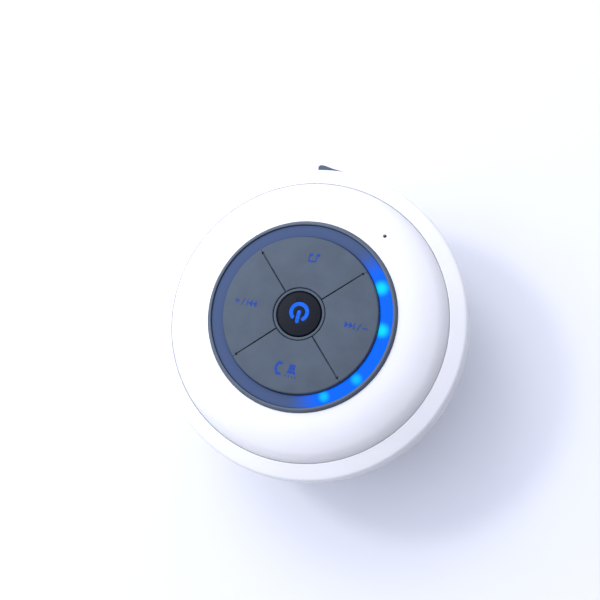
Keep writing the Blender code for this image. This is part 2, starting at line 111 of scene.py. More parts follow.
def filleted(corners: Sequence[Corner], closed: bool = True, steps: int = 5) -> list[Point]:
    """Rounds the corners of an outline.

    Args:
        corners: Each is (x, y) for a sharp corner, or (x, y, radius) for a round one, in mm.
        closed: Whether the last corner joins the first.
        steps: Number of straight stretches in each round corner.

    Returns:
        The outline's points, in mm.
    """
    points: list[Point] = []
    last = len(corners) - 1
    for i, corner in enumerate(corners):
        here = Vector(corner[:2])
        if len(corner) < 3 or (not closed and i in (0, last)):
            points.append((here.x, here.y))
            continue
        before = Vector(corners[i - 1][:2]) - here
        after = Vector(corners[(i + 1) % len(corners)][:2]) - here
        half = before.angle(after) / 2
        reach = min(corner[2] / math.tan(half), before.length * 0.49, after.length * 0.49)
        radius = reach * math.tan(half)
        centre = here + (before.normalized() + after.normalized()).normalized() * radius / math.sin(half)
        first = here + before.normalized() * reach - centre
        last_spoke = here + after.normalized() * reach - centre
        start = math.atan2(first.y, first.x)
        turn = math.remainder(math.atan2(last_spoke.y, last_spoke.x) - start, 2 * math.pi)
        for step in range(steps + 1):
            angle = start + turn * step / steps
            points.append((centre.x + radius * math.cos(angle), centre.y + radius * math.sin(angle)))
    return points


def polar(radius: float, degrees: float) -> Point:
    """The point at that radius and angle about the axis."""
    return radius * math.cos(math.radians(degrees)), radius * math.sin(math.radians(degrees))


def sweep(radius: float, start: float, end: float, steps: int) -> list[Point]:
    """Points on a circle about the axis, from one angle to another, both included."""
    return [polar(radius, start + (end - start) * i / steps) for i in range(steps + 1)]


def placed(points: Sequence[Point], x: float, y: float, wide: float = 1.0, tall: float = 1.0) -> list[Point]:
    """The points stretched about the axis and then moved."""
    return [(x + wide * px, y + tall * py) for px, py in points]


# --------------------------------------------------------------------------- the bench


def deselect() -> None:
    """Clears the selection, which the frame's nodes hold after they load."""
    bpy.ops.object.select_all(action="DESELECT")


def take(piece: bpy.types.Object) -> bpy.types.Object:
    """Makes one piece the only selected and the active one."""
    deselect()
    piece.select_set(True)
    bpy.context.view_layer.objects.active = piece
    return piece


def named(name: str) -> bpy.types.Object:
    """Names the object that an operator has just added, and its mesh."""
    made = bpy.context.object
    made.name = name
    made.data.name = name
    return made


def settle(piece: bpy.types.Object) -> bpy.types.Object:
    """Puts a piece's place, turn and scale into its mesh."""
    take(piece)
    bpy.ops.object.transform_apply(location=True, rotation=True, scale=True)
    return piece


def finish_mesh(piece: bpy.types.Object, smooth: bool = True) -> bpy.types.Object:
    """Welds a closed mesh, turns its faces outwards and shades it.

    Args:
        piece: A closed mesh.
        smooth: Whether faces that meet at a small angle shade as one surface.

    Returns:
        The same piece.
    """
    take(piece)
    bpy.ops.object.mode_set(mode="EDIT")
    bpy.ops.mesh.select_all(action="SELECT")
    bpy.ops.mesh.remove_doubles(threshold=WELD)
    bpy.ops.mesh.normals_make_consistent(inside=False)
    bpy.ops.object.mode_set(mode="OBJECT")
    if smooth:
        bpy.ops.object.shade_smooth_by_angle(angle=math.radians(SMOOTH_BELOW))
    return piece


def turned(name: str, outline: Sequence[Point], sides: int = ROUND, ring: bool = True) -> bpy.types.Object:
    """Turns an outline about the axis, as rings extruded one from another.

    Args:
        name: The piece's name.
        outline: (radius, height) points in mm.
        sides: Number of sides.
        ring: True if the outline closes on itself, False if both its ends lie on the axis.

    Returns:
        The new closed piece.
    """
    points = [*outline, outline[0]] if ring else list(outline)
    points = [(max(r, AXIS_R), z) for r, z in points]
    deselect()
    first_r, first_z = points[0]
    bpy.ops.mesh.primitive_circle_add(vertices=sides, radius=first_r * MM, location=(0, 0, first_z * MM))
    made = settle(named(name))
    bpy.ops.object.mode_set(mode="EDIT")
    bpy.ops.mesh.select_all(action="SELECT")
    for (old_r, old_z), (r, z) in zip(points, points[1:]):
        bpy.ops.mesh.extrude_edges_move(TRANSFORM_OT_translate={"value": (0, 0, (z - old_z) * MM)})
        bpy.ops.transform.resize(value=(r / old_r, r / old_r, 1), center_override=(0, 0, z * MM))
    bpy.ops.object.mode_set(mode="OBJECT")
    return finish_mesh(made)


def prism(name: str, outline: Sequence[Point], low: float, high: float) -> bpy.types.Object:
    """Draws a flat outline, fills it and gives it thickness.

    Args:
        name: The piece's name.
        outline: Corners seen from above, in mm.
        low: Height of the underside, in mm.
        high: Height of the top, in mm. The same as the underside for a flat sheet.

    Returns:
        The new piece, closed unless it is flat.
    """
    deselect()
    shape = bpy.data.curves.new(name, "CURVE")
    shape.dimensions = "2D"
    shape.fill_mode = "BOTH"
    shape.extrude = (high - low) / 2 * MM
    edge = shape.splines.new("POLY")
    edge.points.add(len(outline) - 1)
    for point, (x, y) in zip(edge.points, outline):
        point.co = (x * MM, y * MM, 0, 1)
    edge.use_cyclic_u = True
    made = bpy.data.objects.new(name, shape)
    bpy.context.scene.collection.objects.link(made)
    take(made)
    bpy.ops.object.convert(target="MESH")
    made = named(name)
    made.location.z = (low + high) / 2 * MM
    settle(made)
    return finish_mesh(made, smooth=False)


def bar(name: str, size: Sequence[float], centre: Sequence[float], edge: float = 0.0) -> bpy.types.Object:
    """A block with rounded edges.

    Args:
        name: The piece's name.
        size: Its length along X, Y and Z, in mm.
        centre: Its centre, in mm.
        edge: Radius of its edges, in mm.

    Returns:
        The new closed piece.
    """
    deselect()
    bpy.ops.mesh.primitive_cube_add(size=1, location=Vector(centre) * MM)
    made = named(name)
    made.scale = Vector(size) * MM
    settle(made)
    if edge:
        bpy.ops.object.mode_set(mode="EDIT")
        bpy.ops.mesh.select_all(action="SELECT")
        bpy.ops.mesh.bevel(offset=edge * MM, segments=4, affect="EDGES")
        bpy.ops.object.mode_set(mode="OBJECT")
    return finish_mesh(made)


def peg(
    name: str, radius: float, low: float, high: float, at: Point = (0, 0), sides: int = 32
) -> bpy.types.Object:
    """An upright round peg, for joining or cutting.

    Args:
        name: The piece's name.
        radius: Its radius, in mm.
        low: Height of its foot, in mm.
        high: Height of its top, in mm.
        at: Where it stands, in mm.
        sides: Number of sides.

    Returns:
        The new closed piece.
    """
    deselect()
    place = Vector((at[0], at[1], (low + high) / 2)) * MM
    depth = (high - low) * MM
    bpy.ops.mesh.primitive_cylinder_add(vertices=sides, radius=radius * MM, depth=depth, location=place)
    return settle(named(name))


def turn_about_axis(piece: bpy.types.Object, degrees: float) -> bpy.types.Object:
    """Turns a piece about the speaker's axis, in its mesh."""
    piece.data.transform(Matrix.Rotation(math.radians(degrees), 4, "Z"))
    return piece


def apply_modifiers(piece: bpy.types.Object) -> bpy.types.Object:
    """Applies every modifier of a piece, in order."""
    take(piece)
    for modifier in list(piece.modifiers):
        bpy.ops.object.modifier_apply(modifier=modifier.name)
    return piece


class Cut(Enum):
    """What a Boolean does."""

    AWAY = "DIFFERENCE"
    JOIN = "UNION"
    SHARED = "INTERSECT"


def carve(piece: bpy.types.Object, tool: bpy.types.Object, how: Cut) -> bpy.types.Object:
    """Cuts or joins a piece with a tool, and removes the tool.

    Args:
        piece: The closed piece to change.
        tool: A closed mesh.
        how: What to do with it.

    Returns:
        The changed piece.
    """
    step = piece.modifiers.new("carve", "BOOLEAN")
    step.operation = how.value
    step.object = tool
    step.solver = "EXACT"
    apply_modifiers(piece)
    bpy.data.objects.remove(tool)
    return piece


def soften(piece: bpy.types.Object, width: float, above: float = 40, steps: int = 3) -> bpy.types.Object:
    """Rounds the sharp edges of a carved piece.

    Args:
        piece: The piece.
        width: Width of the rounding, in mm.
        above: Edges sharper than this many degrees are rounded.
        steps: Number of facets in each rounding.

    Returns:
        The same piece.
    """
    bevel = piece.modifiers.new("soften", "BEVEL")
    bevel.width = width * MM
    bevel.segments = steps
    bevel.limit_method = "ANGLE"
    bevel.angle_limit = math.radians(above)
    bevel.use_clamp_overlap = True
    bevel.harden_normals = False
    apply_modifiers(piece)
    bpy.ops.object.shade_smooth_by_angle(angle=math.radians(SMOOTH_BELOW))
    return piece


def merge(name: str, pieces: Sequence[bpy.types.Object]) -> bpy.types.Object:
    """Joins several meshes into one object with that name."""
    take(pieces[0])
    for piece in pieces[1:]:
        piece.select_set(True)
    if len(pieces) > 1:
        bpy.ops.object.join()
    return named(name)


def twin(piece: bpy.types.Object, name: str) -> bpy.types.Object:
    """A copy of a piece with a mesh of its own."""
    made = piece.copy()
    made.data = piece.data.copy()
    made.name = name
    made.data.name = name
    bpy.context.scene.collection.objects.link(made)
    return made


# --------------------------------------------------------------------------- finishes


def linear(colour: str, alpha: float = 1.0) -> tuple[float, float, float, float]:
    """Turns an sRGB hex colour into the linear one that a shader takes.

    Args:
        colour: Six hex digits.
        alpha: Opacity.

    Returns:
        Linear red, green and blue, with alpha.
    """
    parts = [int(colour[i : i + 2], 16) / 255 for i in (0, 2, 4)]
    red, green, blue = (c / 12.92 if c <= 0.04045 else ((c + 0.055) / 1.055) ** 2.4 for c in parts)
    return red, green, blue, alpha


def add(tree: bpy.types.NodeTree, kind: str, links: dict | None = None, **settings: object) -> bpy.types.Node:
    """Adds a node with its settings and links.

    Args:
        tree: The material's node tree.
        kind: The node's type name.
        links: Input name or index to a value, or to an output socket that feeds it.
        settings: Attributes of the node.

    Returns:
        The node.
    """
    node = tree.nodes.new(kind)
    for key, value in settings.items():
        setattr(node, key, value)
    for key, value in (links or {}).items():
        if isinstance(value, bpy.types.NodeSocket):
            tree.links.new(value, node.inputs[key])
        else:
            node.inputs[key].default_value = value
    return node


@dataclass(frozen=True)
class Surface:
    """A material that is made once, under its own name."""

    name: str

    def build(self) -> bpy.types.Material:
        """Makes the material, or finds it made."""
        found = bpy.data.materials.get(self.name)
        if found:
            return found
        made = bpy.data.materials.new(self.name)
        made.use_nodes = True
        place = add(made.node_tree, "ShaderNodeTexCoord").outputs["Object"]
        self.paint(made.node_tree, made.node_tree.nodes["Principled BSDF"], place)
        return made

    def paint(self, tree: bpy.types.NodeTree, shader: bpy.types.Node, place: bpy.types.NodeSocket) -> None:
        """Sets the shader up.

        Args:
            tree: The material's node tree.
            shader: Its shader.
            place: The coordinates that its patterns follow.
        """
        raise NotImplementedError


@dataclass(frozen=True)
class Finish(Surface):
    """A moulded, coated or sheet surface with a fine relief and a soft mottle."""

    colour: str
    shade: str  # the colour of its darker patches
    roughness: float
    ior: float = 1.5
    metallic: float = 0.0
    grain_mm: float = 0.4  # size of the relief's bumps
    depth_mm: float = 0.004
    mottle_mm: float = 9.0  # size of the patches
    mottle: float = 0.35  # how far the patches go towards the shade
    rough_swing: float = 0.06
    subsurface: float = 0.0
    subsurface_mm: float = 1.0
    specular: float = 0.5
    coat: float = 0.0

    def paint(self, tree: bpy.types.NodeTree, shader: bpy.types.Node, place: bpy.types.NodeSocket) -> None:
        """Mottles the colour, and lets one fine grain drive the roughness and the relief."""
        settings = {
            "IOR": self.ior,
            "Metallic": self.metallic,
            "Subsurface Weight": self.subsurface,
            "Subsurface Scale": self.subsurface_mm * MM,
            "Specular IOR Level": self.specular,
            "Coat Weight": self.coat,
        }
        for name, value in settings.items():
            shader.inputs[name].default_value = value
        per_patch, per_grain = 1 / (self.mottle_mm * MM), 1 / (self.grain_mm * MM)
        patches = add(tree, "ShaderNodeTexNoise", {"Vector": place, "Scale": per_patch, "Detail": 3.0})
        share = add(
            tree,
            "ShaderNodeMapRange",
            {"Value": patches.outputs["Fac"], "From Min": 0.35, "From Max": 0.7, "To Max": self.mottle},
        )
        tone = add(
            tree,
            "ShaderNodeMix",
            {"Factor": share.outputs["Result"], 6: linear(self.colour), 7: linear(self.shade)},
            data_type="RGBA",
        )
        tree.links.new(tone.outputs[2], shader.inputs["Base Color"])
        grain = add(tree, "ShaderNodeTexNoise", {"Vector": place, "Scale": per_grain, "Detail": 4.0})
        swing = add(
            tree,
            "ShaderNodeMapRange",
            {
                "Value": grain.outputs["Fac"],
                "From Min": 0.3,
                "From Max": 0.7,
                "To Min": self.roughness - self.rough_swing,
                "To Max": self.roughness + self.rough_swing,
            },
        )
        tree.links.new(swing.outputs["Result"], shader.inputs["Roughness"])
        relief = add(
            tree,
            "ShaderNodeBump",
            {"Height": grain.outputs["Fac"], "Distance": self.depth_mm * MM, "Strength": 0.6},
        )
        tree.links.new(relief.outputs["Normal"], shader.inputs["Normal"])


@dataclass(frozen=True)
class Lamplit(Surface):
    """A translucent plastic that glows where the lamps under it are lit."""

    colour: str
    glow: str
    strength: float
    roughness: float = 0.35
    mottle_mm: float = 1.2

    def paint(self, tree: bpy.types.NodeTree, shader: bpy.types.Node, place: bpy.types.NodeSocket) -> None:
        """Sets the plastic's colour, and a glow that is a little uneven."""
        shader.inputs["Roughness"].default_value = self.roughness
        shader.inputs["Specular IOR Level"].default_value = 0.1
        shader.inputs["Base Color"].default_value = linear(self.colour)
        per_patch = 1 / (self.mottle_mm * MM)
        cloud = add(tree, "ShaderNodeTexNoise", {"Vector": place, "Scale": per_patch, "Detail": 2.0})
        level = add(
            tree,
            "ShaderNodeMapRange",
            {
                "Value": cloud.outputs["Fac"],
                "From Min": 0.3,
                "From Max": 0.7,
                "To Min": self.strength * 0.75,
                "To Max": self.strength * 1.1,
            },
        )
        shader.inputs["Emission Color"].default_value = linear(self.glow)
        tree.links.new(level.outputs["Result"], shader.inputs["Emission Strength"])


# ABS, injection moulded in a polished tool: a bright white with a soft satin gloss, a little light
# going into the wall, and a relief so fine that it only breaks up the highlight.
WHITE_ABS = Finish(
    "white_moulded_abs", "EAEAE7", "E1E1DE", 0.34, ior=1.53, grain_mm=0.35, depth_mm=0.0015,
    mottle_mm=14, subsurface=0.08, subsurface_mm=1.5,
)
# Silicone rubber, compression moulded and left matt: a blue-grey that lightens where dust clings.
GREY_SILICONE = Finish(
    "slate_moulded_silicone", "4A545D", "545E67", 0.58, ior=1.41, specular=0.2, grain_mm=0.22, depth_mm=0.006,
    mottle_mm=5, mottle=0.5, rough_swing=0.08,
)
# The same silicone as the keys, painted lighter to stand in for the highlight that the raised rim catches.
RIM_SILICONE_PAINTED_LIGHTER = Finish(
    "slate_rim_silicone_painted_lighter", "58626C", "4E5862", 0.5, ior=1.41, specular=0.3, grain_mm=0.22, depth_mm=0.005,
    mottle_mm=6, mottle=0.5, rough_swing=0.08,
)
# ABS, moulded near-black with a spark-eroded face: dark, with a soft wide highlight.
BLACK_ABS = Finish(
    "black_moulded_abs", "0C1119", "11161F", 0.48, ior=1.53, specular=0.1, grain_mm=0.25, depth_mm=0.004,
    mottle_mm=4,
)
# Soft PVC as suction cups have it: milky, faintly blue, and smooth enough to grip a tile.
CUP_PVC = Finish(
    "milky_soft_pvc", "D9DEE2", "C9D0D6", 0.18, ior=1.53, grain_mm=1.2, depth_mm=0.002,
    mottle_mm=12, subsurface=0.35, subsurface_mm=4,
)
# Nitrile rubber, moulded: black and dull.
BLACK_RUBBER = Finish("black_nitrile_rubber", "1E1F21", "2A2B2D", 0.7, ior=1.52, grain_mm=0.3, depth_mm=0.01)
# Glass epoxy board under green solder resist: glossy, with darker copper areas below.
BOARD = Finish(
    "green_resist_board", "1F5A34", "174628", 0.35, ior=1.55, grain_mm=0.5, depth_mm=0.01,
    mottle_mm=2.5, mottle=1.0,
)
# Chip moulding compound: charcoal with a fine ground face.
EPOXY = Finish("chip_moulding_compound", "17181A", "222326", 0.55, grain_mm=0.15, depth_mm=0.006)
# Tin-plated steel sheet, pressed: pale grey metal with soft reflections.
TIN = Finish("tin_plated_sheet", "C9CBCC", "B4B7B9", 0.32, metallic=1.0, grain_mm=0.8, depth_mm=0.003)
# Zinc-plated steel, stamped or turned: a cooler grey with a fine spangle.
STEEL = Finish("zinc_plated_steel", "9DA0A3", "85898D", 0.36, metallic=1.0, grain_mm=0.5, depth_mm=0.004)
# Sintered ferrite: dark grey, dull and slightly pitted.
FERRITE = Finish("sintered_ferrite", "2D2E30", "3A3B3D", 0.6, grain_mm=0.3, depth_mm=0.02)
# Enamelled copper wire, wound: warm metal under a clear varnish.
COPPER = Finish(
    "enamelled_copper", "B66A3C", "9C5730", 0.3, metallic=1.0, grain_mm=0.2, depth_mm=0.01, coat=0.5,
)
# Coated paper pulp, pressed: charcoal and fibrous.
PAPER = Finish(
    "coated_cone_paper", "26272A", "323338", 0.8, grain_mm=0.5, depth_mm=0.02, mottle=0.8, mottle_mm=2,
)
# Laminated pouch foil: satin aluminium with shallow dents.
POUCH = Finish("battery_pouch_foil", "AEB4BC", "9AA0A9", 0.3, metallic=1.0, grain_mm=3, depth_mm=0.06)
# Closed-cell foam: black, with small open pores on the cut face.
FOAM = Finish(
    "closed_cell_foam", "2B2C2E", "1B1C1D", 0.9, grain_mm=0.4, depth_mm=0.05, mottle=0.9, mottle_mm=0.8,
)
# PVC wire insulation, extruded: a clean waxy red.
WIRE = Finish("red_pvc_insulation", "B3262B", "9E2025", 0.4, ior=1.53, grain_mm=1.0, depth_mm=0.004)
# Clear blue acrylic over the power lamp, and the silicone windows over the key lamps.
POWER_LIGHT = Lamplit("lit_blue_acrylic", "04123A", "0070FF", 0.9)
KEY_LIGHT = Lamplit("lit_blue_window", "0C1C48", "2A54B8", 0.75, roughness=0.5, mottle_mm=0.5)


@dataclass(frozen=True)
class MeshCloth(Surface):
    """Acoustic mesh: fine polyester threads in a plain weave, which lets sound out and keeps drops off."""

    name: str = "woven_acoustic_mesh"
    thread: str = "4A4E55"
    gap: str = "0C0D0F"
    pitch_mm: float = 0.45  # real mesh is about 0.1, drawn coarser so that it shows

    def paint(self, tree: bpy.types.NodeTree, shader: bpy.types.Node, place: bpy.types.NodeSocket) -> None:
        """Weaves the threads from two sets of waves."""
        shader.inputs["Roughness"].default_value = 0.85
        waves = []
        for direction in ("X", "Y"):
            wave = add(
                tree,
                "ShaderNodeTexWave",
                {"Vector": place, "Scale": 1 / (self.pitch_mm * MM) / (2 * math.pi) * 1.57},
                bands_direction=direction,
            )
            waves.append(wave.outputs["Fac"])
        weave = add(tree, "ShaderNodeMath", {0: waves[0], 1: waves[1]}, operation="MAXIMUM")
        tone = add(
            tree,
            "ShaderNodeMix",
            {"Factor": weave.outputs["Value"], 6: linear(self.gap), 7: linear(self.thread)},
            data_type="RGBA",
        )
        tree.links.new(tone.outputs[2], shader.inputs["Base Color"])
        relief = add(tree, "ShaderNodeBump", {"Height": weave.outputs["Value"], "Distance": 0.08 * MM})
        tree.links.new(relief.outputs["Normal"], shader.inputs["Normal"])


@dataclass(frozen=True)
class RingLight(Surface):
    """Frosted acrylic over a ring of lamps, four of them lit: a dim slate blue that turns to bright
    blue along the lit arc, with a cyan spot over each lit lamp."""

    name: str = "frosted_ring_acrylic"
    unlit: str = "3F4A5A"
    arc_glow: str = "0068FF"
    spot_glow: str = "00E0F6"
    faint_glow: str = "31549F"
    under_glow: str = "06183A"
    lamps: tuple[Corner, ...] = (  # angle, radius in mm, brightness, reach in mm
        (120.5, 22.4, 0.62, 2.0),
        (145.0, 22.7, 0.60, 2.1),
        (182.0, 22.0, 1.0, 2.6),
        (211.0, 22.4, 1.0, 2.7),
    )

    def paint(self, tree: bpy.types.NodeTree, shader: bpy.types.Node, place: bpy.types.NodeSocket) -> None:
        """Lights the arc and the spots over the lit lamps."""
        shader.inputs["Roughness"].default_value = 0.42
        shader.inputs["Specular IOR Level"].default_value = 0.05
        shader.inputs["IOR"].default_value = 1.49
        arc = self._arc(tree, place)
        spots = self._spots(tree, place)
        lit = add(
            tree,
            "ShaderNodeMix",
            {"Factor": arc, 6: linear(self.faint_glow), 7: linear(self.arc_glow)},
            data_type="RGBA",
        )
        glow = add(
            tree,
            "ShaderNodeMix",
            {"Factor": spots, 6: lit.outputs[2], 7: linear(self.spot_glow)},
            data_type="RGBA",
        )
        tree.links.new(glow.outputs[2], shader.inputs["Emission Color"])
        power = add(tree, "ShaderNodeMapRange", {"Value": arc, "To Min": 0.28, "To Max": 1.0})
        tree.links.new(power.outputs["Result"], shader.inputs["Emission Strength"])
        cover = add(
            tree,
            "ShaderNodeMix",
            {"Factor": arc, 6: linear(self.unlit), 7: linear(self.under_glow)},
            data_type="RGBA",
        )
        tree.links.new(cover.outputs[2], shader.inputs["Base Color"])

    def _arc(self, tree: bpy.types.NodeTree, place: bpy.types.NodeSocket) -> bpy.types.NodeSocket:
        """How near a point is to the lit arc, from 0 to 1, by its angle about the axis."""
        first, last = self.lamps[0][0], self.lamps[-1][0]
        middle = math.radians((first + last) / 2 + 2)
        half = (last - first) / 2
        flat = add(tree, "ShaderNodeVectorMath", {0: place, 1: (1, 1, 0)}, operation="MULTIPLY")
        spoke = add(tree, "ShaderNodeVectorMath", {0: flat.outputs[0]}, operation="NORMALIZE")
        facing = add(
            tree,
            "ShaderNodeVectorMath",
            {0: spoke.outputs[0], 1: (math.cos(middle), math.sin(middle), 0)},
            operation="DOT_PRODUCT",
        )
        edge = add(
            tree,
            "ShaderNodeMapRange",
            {
                "Value": facing.outputs["Value"],
                "From Min": math.cos(math.radians(half + 30)),
                "From Max": math.cos(math.radians(half + 4)),
            },
            interpolation_type="SMOOTHSTEP",
        )
        return edge.outputs["Result"]

    def _spots(self, tree: bpy.types.NodeTree, place: bpy.types.NodeSocket) -> bpy.types.NodeSocket:
        """The cyan spots over the lit lamps, from 0 to 1."""
        total: bpy.types.NodeSocket | None = None
        for angle, radius, level, reach in self.lamps:
            x, y = polar(radius * MM, angle)
            flat = add(tree, "ShaderNodeVectorMath", {0: place, 1: (1, 1, 0)}, operation="MULTIPLY")
            gap = add(tree, "ShaderNodeVectorMath", {0: flat.outputs[0], 1: (x, y, 0)}, operation="DISTANCE")
            spot = add(
                tree,
                "ShaderNodeMapRange",
                {
                    "Value": gap.outputs["Value"],
                    "From Min": 0.3 * MM,
                    "From Max": reach * MM,
                    "To Min": level,
                    "To Max": 0.0,
                },
                interpolation_type="SMOOTHSTEP",
            )
            if total is None:
                total = spot.outputs["Result"]
            else:
                both = add(tree, "ShaderNodeMath", {0: total, 1: spot.outputs["Result"]}, operation="MAXIMUM")
                total = both.outputs["Value"]
        return total


def dress(piece: bpy.types.Object, material: bpy.types.Material) -> bpy.types.Object:
    """Gives a piece one material all over."""
    piece.data.materials.clear()
    piece.data.materials.append(material)
    return piece


def fit(
    piece: bpy.types.Object, material: bpy.types.Material, body: str, slot: str, *nodes: str
) -> bpy.types.Object:
    """Dresses a finished piece, sets it on its body and lets it stand for its CAD nodes.

    Args:
        piece: The finished piece.
        material: Its material.
        body: The body that it rides on.
        slot: The record's material slot. Not used.
        nodes: CAD nodes that it stands for.

    Returns:
        The same piece.
    """
    dress(piece, material)
    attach(piece, body)
    if nodes:
        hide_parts(*nodes)
    LOG.info("%s on %s, %d faces", piece.name, body, len(piece.data.polygons))
    return piece


# --------------------------------------------------------------------------- the housing


@dataclass
class Housing:
    """The white dome and bowl, and the seam between them."""

    flange_r: float
    flange_top: float
    flange_bottom: float
    back: float
    dome_r: float
    dome_top: float
    mouth_r: float = 25.66
    knee: Point = (35.3, 48.2)  # where the dome turns down more steeply
    dome_edge: float = 44.4
    wall: float = 2.0
    post_r: float = 30.3
    microphone: Point = (30.4, 237.5)
    slots: int = 10

    def build(self) -> None:
        """Makes the dome and the bowl."""
        self._dome()
        self._bowl()

    def _dome(self) -> None:
        """The smooth dome, with its rolled mouth, crease edge, posts and microphone hole."""
        spigot_in, spigot_low = 36.9, 43.6
        crown = bulge((self.mouth_r, self.dome_top), self.knee, 24, 30)
        side = bulge(self.knee, (self.dome_r, self.dome_edge), 42, 24)
        inner = bulge((self.mouth_r, self.dome_top - self.wall), (spigot_in, self.dome_edge + 0.5), 43, 20)
        rolled = filleted(
            [(self.dome_r, self.dome_edge), (self.dome_r, spigot_low), (spigot_in, spigot_low), inner[-1]],
            closed=False,
        )
        outline = [*crown, *side[1:-1], *rolled[:-1], *reversed(inner)]
        dome = turned("dome_shell", outline)
        for angle in DIAGONALS:
            at = polar(self.post_r, angle)
            carve(dome, peg("post", 2.5, 34.8, 48.6, at), Cut.JOIN)
            carve(dome, peg("pilot_hole", 1.5, 34.0, 44.5, at), Cut.AWAY)
        carve(dome, peg("sound_hole", 0.5, 44.0, 54.0, polar(*self.microphone)), Cut.AWAY)
        finish_mesh(dome)
        fit(dome, WHITE_ABS.build(), "housing", "white_abs", "front_shell")

    def _bowl(self) -> None:
        """The bowl with its rounded flange, sound slots, screw wells and charging port pocket."""
        ledge, lip = 42.4, self.dome_r + 0.09
        bottom = self.flange_bottom
        outer = filleted(
            [
                (36.7, ledge),
                (lip, ledge),
                (lip, self.flange_top, 0.15),
                (self.flange_r, self.flange_top - 2.1, 1.5),
                (self.flange_r, bottom, 1.8),
                (40.2, bottom, 0.4),
                (39.7, bottom - 0.7),
            ],
            closed=False,
            steps=12,
        )
        belly = bulge((39.7, bottom - 0.8), (33.6, self.back + 0.12), 56, 24)
        inside = [(2.0, self.back), (1.6, self.back + 0.4), (1.6, self.back + 2.2), (31.6, self.back + 2.2)]
        wall = bulge((37.8, 34.0), (33.4, 21.2), 34, 12)
        top = [(37.8, 36.0), (36.7, 38.0)]
        outline = [*outer, *belly, (32.6, self.back), *inside, *reversed(wall), *top]
        bowl = turned("flange_bowl", outline)
        for angle in DIAGONALS:
            at = polar(self.post_r, angle)
            carve(bowl, peg("post", 2.6, 19.0, 32.6, at), Cut.JOIN)
            carve(bowl, peg("screw_well", 2.5, 16.0, 20.6, at, 48), Cut.AWAY)
            carve(bowl, peg("screw_hole", 1.45, 19.0, 34.0, at), Cut.AWAY)
        for index in range(self.slots):
            slot = bar("sound_slot", (9.0, 1.8, 6.0), (16.0, 0, 19.0), 0.85)
            carve(bowl, turn_about_axis(slot, 360 / self.slots * index), Cut.AWAY)
        PortCover.pocket(bowl)
        finish_mesh(bowl)
        fit(bowl, WHITE_ABS.build(), "housing", "white_abs", "rear_shell")


@dataclass
class PortCover:
    """The silicone cover of the charging port, its grip, and the strap that it turns on."""

    port_z: float = 39.8
    half: float = 8.2
    height: float = 4.2
    floor: float = -40.9

    @staticmethod
    def pocket(bowl: bpy.types.Object) -> None:
        """Cuts the cover's pocket, the strap's channel and the socket's slot into the bowl."""
        port = PortCover()
        z, floor = port.port_z, port.floor
        tools = [
            bar("pocket", (2 * port.half + 0.8, 9.1, port.height + 0.6), (0, floor - 4.55, z), 0.3),
            bar("strap_channel", (3.9, 9.7, 3.0), (-9.55, floor + 0.6 - 4.85, z), 0.3),
            bar("socket_slot", (9.2, 7.0, 3.5), (0, -38.5, z), 0.6),
            bar("anchor_hole", (1.6, 3.1, 1.8), (-10.0, -40.45, z), 0.2),
        ]
        for tool in tools:
            carve(bowl, tool, Cut.AWAY)

    def build(self) -> None:
        """Makes the cover with its plug and grip lip, and the strap."""
        flange = 43.0
        back = self.floor - 0.3
        start = math.degrees(math.asin(-self.half / flange)) - 90
        face = sweep(flange, start, -89, 12)
        lip = filleted(
            [
                face[-1],
                (4.2, -43.3, 6.0),
                (6.6, -43.75, 1.5),
                (7.9, -43.75, 0.5),
                (self.half + 0.25, -43.2, 0.3),
                (self.half, -42.0, 0.3),
                (self.half, back, 0.3),
            ],
            closed=False,
        )
        outline = [(-self.half, back), (-self.half, -41.9), *face, *lip[1:]]
        half = self.height / 2
        cover = prism("port_cover", outline, self.port_z - half, self.port_z + half)
        carve(cover, bar("plug", (8.0, 2.2, 2.5), (0, -40.5, self.port_z), 0.35), Cut.JOIN)
        for index in range(4):
            groove = bar("grip_groove", (0.35, 0.4, 3.0), (5.4 + 0.8 * index, -43.85, self.port_z), 0.1)
            carve(cover, groove, Cut.AWAY)
        soften(cover, 0.25)
        fit(cover, GREY_SILICONE.build(), "port_cover", "grey_silicone", "usb_cover")
        strap = bar("cover_strap", (2.4, 0.9, 2.4), (-9.95, -41.1, self.port_z), 0.3)
        carve(strap, bar("anchor", (1.0, 2.0, 1.2), (-10.0, -40.2, self.port_z), 0.2), Cut.JOIN)
        finish_mesh(strap)
        fit(strap, GREY_SILICONE.build(), "housing", "grey_silicone", "usb_cover_strap")


# --------------------------------------------------------------------------- the keypad


